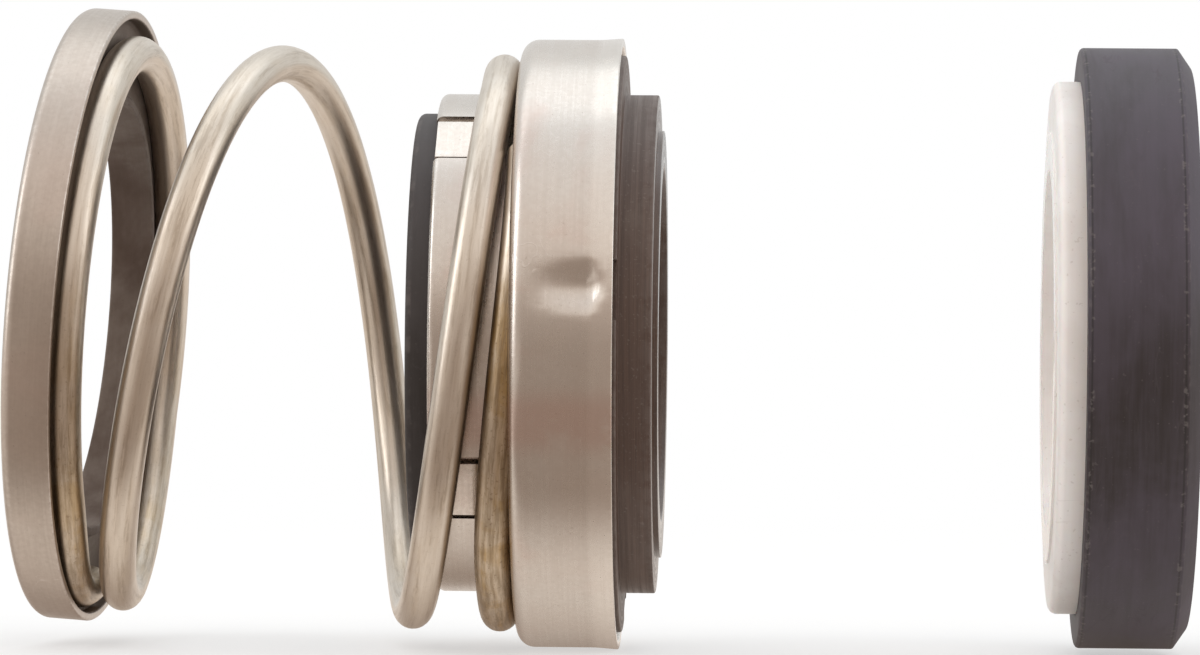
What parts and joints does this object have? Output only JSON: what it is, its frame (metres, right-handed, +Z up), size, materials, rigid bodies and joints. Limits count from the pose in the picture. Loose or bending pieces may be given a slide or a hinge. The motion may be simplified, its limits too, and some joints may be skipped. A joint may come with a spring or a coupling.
{
  "type": "mechanical seal",
  "caption": "Pump shaft mechanical seal: a spring-loaded rotary head with a rubber bellows and carbon face, and a ceramic seat ring in a rubber cup.",
  "frame": {"origin": "middle of the bellows' grip bore, on the shaft axis", "axes": "+X along the shaft from the rotary head to the stationary seat, +Z up, the pictured side faces -Y"},
  "size_m": [0.0675, 0.0372, 0.0372],
  "materials": {
    "stainless_sheet": "satin, with fine brushing round the axis",
    "spring_wire": "drawn wire with a light straw tint",
    "bellows_rubber": "matte moulded",
    "carbon": "fine turned carbon-graphite, lapped on the nose",
    "white_ceramic": "satin white, lapped on the land",
    "cup_rubber": "matte moulded with faint bloom"
  },
  "bodies": {
    "seat": {"mating_ring": "white_ceramic", "seat_cup": "cup_rubber"},
    "face": {"retainer": "stainless_sheet", "primary_ring": "carbon", "spring": "spring_wire"},
    "shaft_grip": {"bellows": "bellows_rubber", "drive_band": "stainless_sheet"},
    "holder": {"spring_holder": "stainless_sheet"}
  },
  "joints": [
    {"name": "face_turn", "type": "hinge", "parent": "seat", "child": "face", "pos_m": [0, 0, 0], "axis": [1, 0, 0], "continuous": true},
    {"name": "bellows_flex", "type": "slide", "parent": "face", "child": "shaft_grip", "axis": [1, 0, 0], "range_m": [-0.001, 0.001], "stiffness_N_per_m": 2000, "deforming": ["bellows"]},
    {"name": "spring_press", "type": "slide", "parent": "face", "child": "holder", "axis": [1, 0, 0], "range_m": [0, 0.012], "stiffness_N_per_m": 3500, "deforming": ["spring"]}
  ]
}
